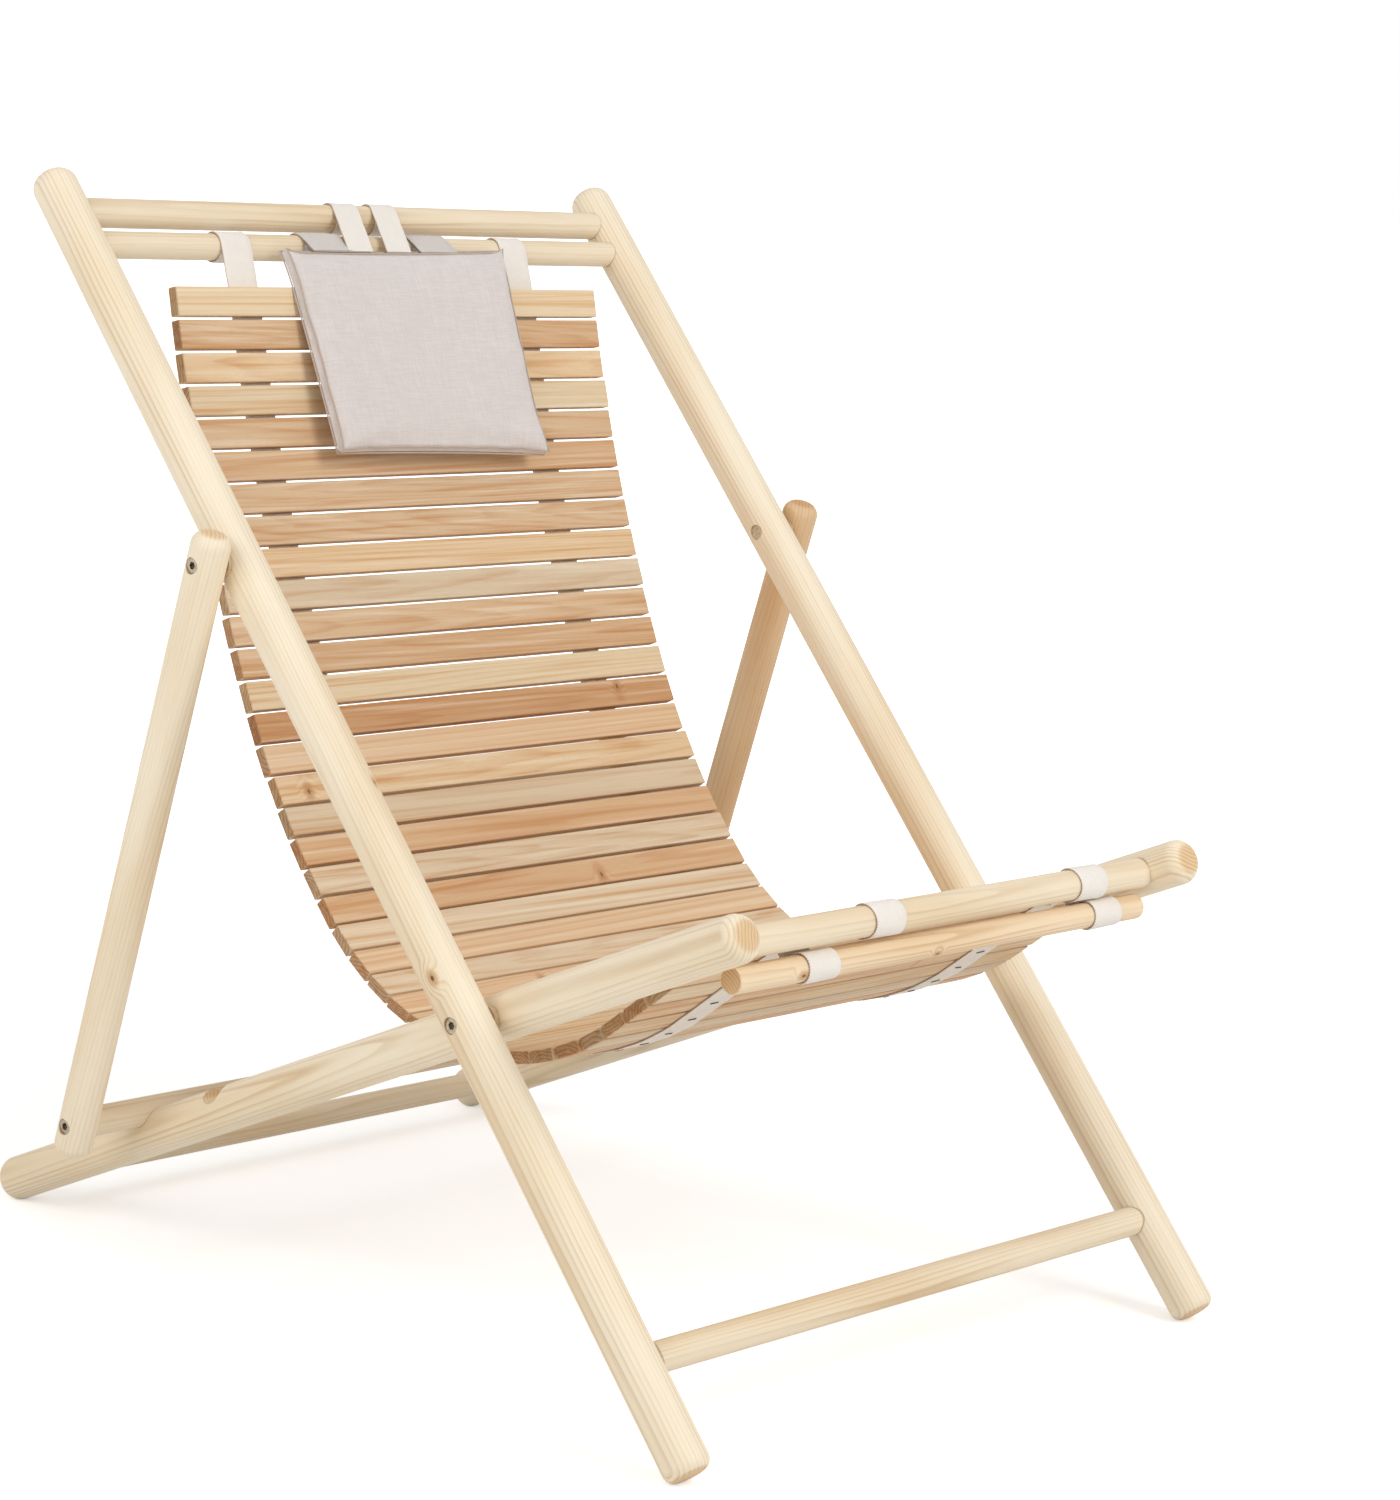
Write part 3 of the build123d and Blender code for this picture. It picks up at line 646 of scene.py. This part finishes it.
rod_low, rod_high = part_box("rod")
rod_shades = (srgb(240, 217, 184), srgb(200, 156, 104), srgb(233, 205, 167))
rod_knots = (((0.003, -0.0105, -0.190), 0.0036), ((0.006, -0.009, -0.02), 0.0028))
rod_pine = pole_wood(
    "rod_pine",
    (rod_low + rod_high) / 2,
    across_euler,
    (0.030, 0.026),
    ring=0.003,
    wander=0.010,
    contrast=0.75,
    knots=rod_knots,
    shades=rod_shades,
)
dress(["rod"], rod_pine)

bolt_steel = metal("bolt_steel", srgb(166, 153, 134), 0.3)
dress(["seat_pivot_bolts", "prop_pivot_bolts", "prop_rail_bolts"], bolt_steel)
dress(["seat_pivot_nuts", "prop_pivot_nuts"], metal("nut_steel", srgb(212, 200, 178), 0.5))
washer_plastic = plastic("washer_plastic", srgb(206, 180, 142), srgb(190, 162, 124))
dress(["seat_spacers", "prop_washers"], washer_plastic)

# Slats: a stain's letter for each, from the top to the front, and the X of a knot by its slat's number
stains = {
    "p": srgb(231, 209, 174),
    "t": srgb(224, 195, 156),
    "o": srgb(214, 177, 137),
    "r": srgb(221, 189, 152),
    "b": srgb(203, 157, 113),
    "g": srgb(219, 198, 168),
}
slat_stains = "potprorrtgropbrtgogogrgrtgtprtogtrptr"
slat_knots = {14: 0.19, 16: -0.23, 20: 0.07, 24: -0.09, 27: 0.16, 31: -0.12, 34: 0.09}
fir = slat_wood()
dice = random.Random(37)


def rounded_section(width, thickness, radius, inset, steps=4):
    """Points round a rectangle with eased corners, drawn in by an inset."""
    points = []
    for corner, (side, face) in enumerate(((1, 1), (-1, 1), (-1, -1), (1, -1))):
        middle = (side * (width / 2 - radius), face * (thickness / 2 - radius))
        for step in range(steps + 1):
            angle = 90.0 * (corner + step / steps)
            points.append(along(middle, angle, radius - inset))
    return points


def add_slat(shell, number):
    """One slat: its section carried across the chair, with eased ends."""
    stain = stains[slat_stains[number - 1]]
    shade = dice.uniform(0.95, 1.05)
    stain = (*(value * shade for value in stain[:3]), 1.0)
    ring = dice.uniform(0.0020, 0.0046)
    pith = (dice.uniform(-0.016, 0.016), dice.choice((-1, 1)) * dice.uniform(0.010, 0.040))
    drift = (dice.uniform(-0.02, 0.02), dice.uniform(-0.035, 0.035))
    start = dice.uniform(0, 9)
    shift = dice.uniform(-0.0012, 0.0012)
    half = slat_length / 2
    knot_x = slat_knots.get(number)
    knot_u = dice.uniform(-0.006, 0.006)
    rings, grains, tints, knots = [], [], [], []
    for x in (-half, -half + slat_end_ease, half - slat_end_ease, half):
        inset = slat_end_ease if abs(x) == half else 0.0
        section = rounded_section(slat_width, slat_thickness, slat_round, inset)
        ring_points = []
        grain = []
        knot = []
        for u, v in section:
            y, z = on_slat(number, u, v - slat_thickness / 2)
            ring_points.append((x + shift, y, z))
            from_pith = (u - pith[0] - drift[0] * x, v - pith[1] - drift[1] * x)
            grain.append((x + start, from_pith[0] / ring, from_pith[1] / ring))
            if knot_x is None:
                knot.append((1.0, 1.0, 1.0))
            else:
                knot.append((x - knot_x, u - knot_u, v + slat_thickness / 2))
        rings.append(ring_points)
        grains.append(grain)
        tints.append([stain] * len(section))
        knots.append(knot)
    shell.loft(rings, grain=grains, stain=tints, knot=knots)


# Cloth runs: side view paths given a width and a thickness
def normals(path):
    """Unit normal at each point of a path, to the left of its run."""
    found = []
    for step in range(len(path)):
        before = path[max(step - 1, 0)]
        after = path[min(step + 1, len(path) - 1)]
        angle = degrees(atan2(after[1] - before[1], after[0] - before[0])) + 90
        found.append((cos(radians(angle)), sin(radians(angle))))
    return found


def add_ribbon(shell, path, middle_x, width, thickness, lean=0.0, tail=0.06, crease=0.00025, start=0.0):
    """Band of cloth along a path, its thickness to the left, with soft edges and a slight ripple."""
    rings, weaves = [], []
    shares = (-1.0, -0.96, -0.6, -0.2, 0.2, 0.6, 0.96, 1.0)
    run = start
    facing = normals(path)
    for step, (y, z) in enumerate(path):
        if step:
            run += apart(path[step - 1], path[step])
        ring, weave = [], []
        shifted = middle_x + lean * (min(run - start, tail) - tail / 2)
        for face, order in ((0.0, shares), (1.0, shares[::-1])):
            for share in order:
                eased = 0.5 + (face - 0.5) * (cloth_edge_share if abs(share) == 1.0 else 1.0)
                ripple = 0.0
                if 0 < step < len(path) - 1:
                    ripple = crease * sin(run * crease_rate + share * 2.0)
                off = thickness * eased + ripple
                x = shifted + share * width / 2
                ring.append((x, y + facing[step][0] * off, z + facing[step][1] * off))
                weave.append((run, share * width / 2, width / 2))
        rings.append(ring[::-1])
        weaves.append(weave[::-1])
    shell.loft(rings, weave=weaves)


def arc(centre, radius, start_angle, turn, steps=26):
    """Points round a circle."""
    return [along(centre, start_angle + turn * step / steps, radius) for step in range(steps + 1)]


def loop_path(start, centre, radius, turn=-318.0, lead=6):
    """Cloth from a start to a rail, round it, and back to its own run."""
    slope = degrees(atan2(centre[1] - start[1], centre[0] - start[0]))
    gap = apart(start, centre)
    slope += degrees(acos((gap**2 - radius**2) ** 0.5 / gap))
    touch = along(centre, slope + 90, radius)
    straight = [
        (start[0] + (touch[0] - start[0]) * step / lead, start[1] + (touch[1] - start[1]) * step / lead)
        for step in range(lead)
    ]
    return straight + arc(centre, radius, slope + 90, turn)


# Edge colours: the loops' and tabs' dark edges are painted shade along the cloth's edge; the webbing's
# brown edge is partly its own colour and partly painted shade.
webbing_cotton = cotton(
    "webbing_cotton", srgb(253, 241, 226), srgb(246, 230, 211), srgb(150, 116, 84), sheer=0.4
)
loop_cotton = cotton("loop_cotton", srgb(249, 243, 235), srgb(236, 227, 216), srgb(176, 144, 116))
tab_linen = cotton("tab_linen", srgb(224, 217, 211), srgb(204, 194, 187), srgb(150, 132, 120))
staple_steel = metal("staple_steel", srgb(70, 60, 52), 0.42)

strap_back = strap_gap + cloth_thickness


def add_staple(shell, number, middle_x):
    """One staple's crown across a strap, slightly askew, its ends sunk in."""
    tilt = dice.uniform(-staple_tilt, staple_tilt)
    rings = []
    for share, inset in ((-0.5, staple_ease), (-0.42, 0.0), (0.42, 0.0), (0.5, staple_ease)):
        ring = []
        for u, v in rounded_section(staple_wire, staple_height, staple_round, inset * 0.6, 2):
            outward = strap_back + staple_height / 2 + v - inset
            y, z = on_slat(number, u + tilt * share * 2, outward)
            ring.append((middle_x + share * staple_width, y, z))
        rings.append(ring)
    shell.loft(rings)


first = 1
for panel, last in zip("abcdefgh", panel_ends):
    body = "seat_frame" if panel == "h" else "sling_" + panel
    slats = Shell()
    straps = Shell()
    staples = Shell()
    path = []
    if first > 1:
        path.append(at_break(first - 1, strap_gap))
    for number in range(first, last + 1):
        add_slat(slats, number)
        for share in (-0.5, -0.2, 0.2, 0.5):
            path.append(on_slat(number, share * slat_width, strap_gap))
    if last < slat_count:
        path.append(at_break(last, strap_gap))
    for middle_x in (-strap_x, strap_x):
        strap_run = first * slat_pitch
        add_ribbon(straps, path, middle_x, strap_width, cloth_thickness, crease=0.0001, start=strap_run)
        for number in range(first, last + 1):
            add_staple(staples, number, middle_x)
    slats.piece("fir_slats_" + panel, fir, body, ["slats_" + panel], "slat_wood")
    straps.piece("cotton_straps_" + panel, webbing_cotton, body, ["webbing_" + panel], "webbing")
    staples.piece("wire_staples_" + panel, staple_steel, body, ["staples_" + panel], "staple_wire")
    first = last + 1

# Loops over the sling rail, round the front rail and round the rod
top_loops = Shell()
loop_back = strap_back + loop_gap
loop_start = on_slat(1, -slat_width * 0.15, loop_back)
for middle_x in (-strap_x, strap_x):
    path = loop_path(loop_start, sling_rail_at, node_radius("sling_rail") + loop_gap)
    add_ribbon(top_loops, path, middle_x, top_loop_width, cloth_thickness)
top_loops.piece("cotton_top_loops", loop_cotton, "sling_a", ["top_loops"], "webbing")

rail_loops = Shell()
for middle_x in rail_loops_x:
    start = on_slat(slat_count, rail_loop_lap, loop_back)
    path = loop_path(start, front_rail_at, node_radius("front_rail") + loop_gap)
    add_ribbon(rail_loops, path, middle_x, front_loop_width, cloth_thickness)
rail_loops.piece("cotton_rail_loops", loop_cotton, "seat_frame", ["rail_loops"], "webbing")

rod_loops = Shell()
for middle_x in rod_loops_x:
    start = on_slat(slat_count, rod_loop_lap, loop_back)
    path = loop_path(start, rod_at, node_radius("rod") + loop_gap)
    add_ribbon(rod_loops, path, middle_x, front_loop_width, cloth_thickness)
rod_loops.piece("cotton_rod_loops", loop_cotton, "seat_frame", ["rod_loops"], "webbing")

# Pillow: it leans on the top slat's upper edge; up and out are the directions of its own plane
pillow_heading = slat_heading[0] - pillow_lean
pillow_up = Vector((0, cos(radians(pillow_heading)), sin(radians(pillow_heading))))
pillow_out = Vector((0, -sin(radians(pillow_heading)), cos(radians(pillow_heading))))
pillow_rest = along(on_slat(1, -slat_width / 2, -slat_thickness), pillow_heading + 90, loop_gap)
pillow_foot = along(pillow_rest, pillow_heading + 180, pillow_height - pillow_above_slats)
pillow_foot = Vector((pillow_centre_x, *pillow_foot))


def pillow_point(across, up, out):
    return pillow_foot + Vector((across, 0, 0)) + pillow_up * up + pillow_out * out


def drawn(share_x, share_y):
    """Place on the pillow's panel, its sides drawn in between the corners."""
    across = share_x * (pillow_width / 2 - pillow_draw * (1 - share_y**2))
    up = pillow_height / 2 + share_y * (pillow_height / 2 - pillow_draw * (1 - share_x**2))
    return across, up


def pillow_mesh(thickness):
    """Front and back panels on a grid, joined by a narrow band, and the rims that its two seams follow."""
    points, faces, weave = [], [], []

    def panel(out, order):
        grid = []
        for row in range(pillow_rows + 1):
            line = []
            for column in range(pillow_columns + 1):
                across, up = drawn(2 * column / pillow_columns - 1, 2 * row / pillow_rows - 1)
                line.append(len(points))
                points.append(pillow_point(across, up, out))
                weave.append((up, across, out))
            grid.append(line)
        for lower, upper in zip(grid, grid[1:]):
            for column in range(pillow_columns):
                face = (lower[column], lower[column + 1], upper[column + 1], upper[column])
                faces.append(face if order else face[::-1])
        right_side = [line[-1] for line in grid[:-1]]
        left_side = [line[0] for line in grid[:0:-1]]
        return grid[0][:-1] + right_side + grid[-1][:0:-1] + left_side

    back_rim = panel(0.0, False)
    front_rim = panel(thickness, True)
    lower = back_rim
    for row in range(1, band_rows + 1):
        if row == band_rows:
            upper = front_rim
        else:
            upper = []
            for back, front in zip(back_rim, front_rim):
                upper.append(len(points))
                points.append(points[back].lerp(points[front], row / band_rows))
                mean = [(a + b) / 2 for a, b in zip(weave[back], weave[front])]
                weave.append(tuple(mean))
        for step in range(len(lower)):
            after = (step + 1) % len(lower)
            faces.append((lower[step], lower[after], upper[after], upper[step]))
        lower = upper
    return points, faces, weave, back_rim, front_rim


points, faces, weave, back_rim, front_rim = pillow_mesh(pillow_start)
pillow_data = bpy.data.meshes.new("linen_pillow")
pillow_data.from_pydata(points, [], faces)
pillow_data.update()
layer = pillow_data.attributes.new("weave", "FLOAT_VECTOR", "POINT")
layer.data.foreach_set("vector", [number for value in weave for number in value])
pillow = bpy.data.objects.new("linen_pillow", pillow_data)
bpy.context.scene.collection.objects.link(pillow)


def swell(piece):
    """Stuffs the pillow: pressure from inside, no gravity, each point's move capped."""
    start = [point.co.copy() for point in piece.data.vertices]
    group = piece.vertex_groups.new(name="seams")
    group.add(sorted(set(back_rim)), 1.0, "REPLACE")
    cloth = piece.modifiers.new("stuffing", "CLOTH")
    cloth.settings.use_pressure = True
    cloth.settings.uniform_pressure_force = 4.0
    cloth.settings.tension_stiffness = 12
    cloth.settings.compression_stiffness = 8
    cloth.settings.bending_stiffness = 0.4
    cloth.settings.shrink_min = -0.015
    cloth.settings.effector_weights.gravity = 0.0
    cloth.settings.vertex_group_mass = "seams"
    for step in range(1, stuffing_steps + 1):
        bpy.context.scene.frame_set(step)
    graph = bpy.context.evaluated_depsgraph_get()
    moved = [point.co.copy() for point in piece.evaluated_get(graph).data.vertices]
    piece.modifiers.remove(cloth)
    for point, before, after in zip(piece.data.vertices, start, moved):
        shift = after - before
        if shift.length > pillow_swell:
            shift *= pillow_swell / shift.length
        point.co = before + shift
    bpy.context.scene.frame_set(1)


def settle(piece):
    """Flat back, top edge pulled to the rail, left side drawn in, right side hanging lower."""
    for point in piece.data.vertices:
        local = point.co - pillow_foot
        depth = max(local.dot(pillow_out), pillow_back_lift)
        up = local.dot(pillow_up)
        above = max(0.0, 1 + (up - pillow_height) / pillow_above_slats)
        below = 1 - up / pillow_height
        across = local.x + pillow_foot_draw * below * (0.5 - local.x / pillow_width)
        across += pillow_top_shift * (1 - below) + pillow_foot_shift * below
        right = 0.5 + local.x / pillow_width
        up += right * (pillow_right_rise * (1 - below) - pillow_right_drop * below)
        point.co = pillow_point(across, up, depth - pillow_bend * above**2)


swell(pillow)
settle(pillow)


def add_seam(shell, line, radius=seam_radius, sides=6):
    """Sewn edge: a thin welt along a closed line of points."""
    rings, weaves = [], []
    count = len(line)
    for step in range(count + 1):
        here = line[step % count]
        run = (line[(step + 1) % count] - line[step % count - 1]).normalized()
        side = run.cross(pillow_out).normalized()
        up = side.cross(run).normalized()
        ring, weave = [], []
        for turn in range(sides):
            angle = 2 * pi * turn / sides
            ring.append(here + side * cos(angle) * radius + up * sin(angle) * radius)
            weave.append((step * seam_stitch, radius * angle, 0.5))
        rings.append(ring)
        weaves.append(weave)
    shell.loft(rings, capped=False, weave=weaves)


seams = Shell()
for rim in (back_rim, front_rim):
    add_seam(seams, [pillow.data.vertices[index].co.copy() for index in rim])
pillow_linen = linen()
pillow.data.materials.append(pillow_linen)
pillow.data.polygons.foreach_set("use_smooth", [True] * len(pillow.data.polygons))
smooth = pillow.modifiers.new("smooth", "SUBSURF")
smooth.levels = 1
smooth.render_levels = 1
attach(pillow, "pillow_body")
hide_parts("pillow")
seam_linen = cotton("seam_linen", srgb(206, 190, 176), srgb(186, 166, 148), srgb(186, 166, 148))
seams.piece("linen_pillow_seams", seam_linen, "pillow_body", slot="pillow_cloth")

# Pillow hangers: cotton straps over the head rail, linen tabs over the sling rail
seam_at = pillow_point(0, pillow_height - pillow_draw, pillow_start / 2 - pillow_bend)
seam_yz = (seam_at.y, seam_at.z)


def add_hanger(shell, rail_at, radius, thickness, middle_x, width, lean=0.0):
    """Band from the pillow's top seam up to a rail and round it."""
    gap = apart(seam_yz, rail_at)
    slope = degrees(atan2(rail_at[1] - seam_yz[1], rail_at[0] - seam_yz[0]))
    slope += degrees(acos((gap**2 - radius**2) ** 0.5 / gap))
    path = loop_path(along(seam_yz, slope, seam_overlap), rail_at, radius)
    add_ribbon(shell, path, middle_x, width, thickness, lean=lean)


hangers = Shell()
hanger_radius = node_radius("head_rail") + loop_gap
for middle_x in pillow_straps_x:
    add_hanger(
        hangers,
        head_rail_at,
        hanger_radius,
        cloth_thickness,
        middle_x,
        pillow_strap_width,
        lean=pillow_strap_lean,
    )
pillow_straps = hangers.piece("cotton_pillow_straps", loop_cotton, None, ["pillow_straps"], "webbing")
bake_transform(pillow_straps)

tabs = Shell()
tab_radius = node_radius("sling_rail") + loop_gap
for middle_x in pillow_tabs_x:
    add_hanger(tabs, sling_rail_at, tab_radius, tab_thickness, middle_x, pillow_tab_width)
tabs.piece("linen_pillow_tabs", tab_linen, "sling_a", ["pillow_tabs"], "pillow_cloth")

# Stage: a white floor that keeps the chair's shadow, soft light from above and from the left
floor_mesh = bpy.data.meshes.new("floor")
corner_signs = ((-1, -1), (1, -1), (1, 1), (-1, 1))
floor_corners = [(x * floor_half, y * floor_half, 0) for x, y in corner_signs]
floor_mesh.from_pydata(floor_corners, [], [(0, 1, 2, 3)])
floor = bpy.data.objects.new("floor", floor_mesh)
floor.location.z = -floor_drop
bpy.context.scene.collection.objects.link(floor)
floor_graph = Graph("floor_white", roughness=1.0, specular=0.0)
floor_graph.shader.inputs["Base Color"].default_value = (0.9, 0.9, 0.9, 1)
floor_graph.shader.inputs["Emission Color"].default_value = (1, 1, 1, 1)
floor_path = floor_graph.node("LightPath")
floor_seen = floor_path.outputs["Is Camera Ray"]
for ray in ("Is Glossy Ray", "Is Transmission Ray"):
    floor_seen = floor_graph.math("MAXIMUM", floor_seen, floor_path.outputs[ray])
floor_reach = floor_graph.vector("LENGTH", floor_graph.node("TexCoord").outputs["Object"])
floor_glow = floor_graph.fade(floor_reach, floor_near, floor_far, near_glow, far_glow)
floor_graph.shade("Emission Strength", floor_graph.math("MULTIPLY", floor_seen, floor_glow))
floor_mesh.materials.append(floor_graph.material)

world = bpy.data.worlds.new("studio")
world.use_nodes = True
bpy.context.scene.world = world
world_tree = world.node_tree
backdrop = world_tree.nodes["Background"]
backdrop.inputs["Color"].default_value = (1, 1, 1, 1)
light_path = world_tree.nodes.new("ShaderNodeLightPath")
seen = light_path.outputs["Is Camera Ray"]
for ray in ("Is Glossy Ray", "Is Transmission Ray"):
    either = world_tree.nodes.new("ShaderNodeMath")
    either.operation = "MAXIMUM"
    world_tree.links.new(seen, either.inputs[0])
    world_tree.links.new(light_path.outputs[ray], either.inputs[1])
    seen = either.outputs[0]
level = world_tree.nodes.new("ShaderNodeMapRange")
level.inputs["To Min"].default_value = room_light
level.inputs["To Max"].default_value = 1.0
world_tree.links.new(seen, level.inputs["Value"])
world_tree.links.new(level.outputs[0], backdrop.inputs["Strength"])


def soft_lamp(name, place, aim, size, watts):
    """Square area lamp that faces an aim."""
    lamp = bpy.data.lights.new(name, "AREA")
    lamp.size = size
    lamp.energy = watts
    holder = bpy.data.objects.new(name, lamp)
    holder.location = place
    holder.rotation_euler = (Vector(aim) - Vector(place)).to_track_quat("-Z", "Y").to_euler()
    bpy.context.scene.collection.objects.link(holder)


soft_lamp("key", (0.5, -3.2, 2.9), chair_middle, 2.0, key_watts)
soft_lamp("fill", (-3.3, 0.2, 2.3), chair_middle, 2.4, fill_watts)

# Camera
yaw, pitch, roll = radians(camera_yaw), radians(camera_pitch), radians(camera_roll)
ahead = Vector((sin(yaw) * cos(pitch), cos(yaw) * cos(pitch), sin(pitch)))
right = Vector((cos(yaw), -sin(yaw), 0))
up = right.cross(ahead)
right_rolled = right * cos(roll) + up * sin(roll)
up_rolled = up * cos(roll) - right * sin(roll)
camera_data = bpy.data.cameras.new("camera")
camera_data.sensor_fit = "VERTICAL"
camera_data.sensor_height = sensor_height
camera_data.lens = focal_length
camera = bpy.data.objects.new("camera", camera_data)
turn = Matrix((right_rolled, up_rolled, -ahead)).transposed()
camera.matrix_world = Matrix.Translation(camera_place) @ turn.to_4x4()
bpy.context.scene.collection.objects.link(camera)
bpy.context.scene.camera = camera

bpy.context.scene.view_settings.view_transform = "Standard"
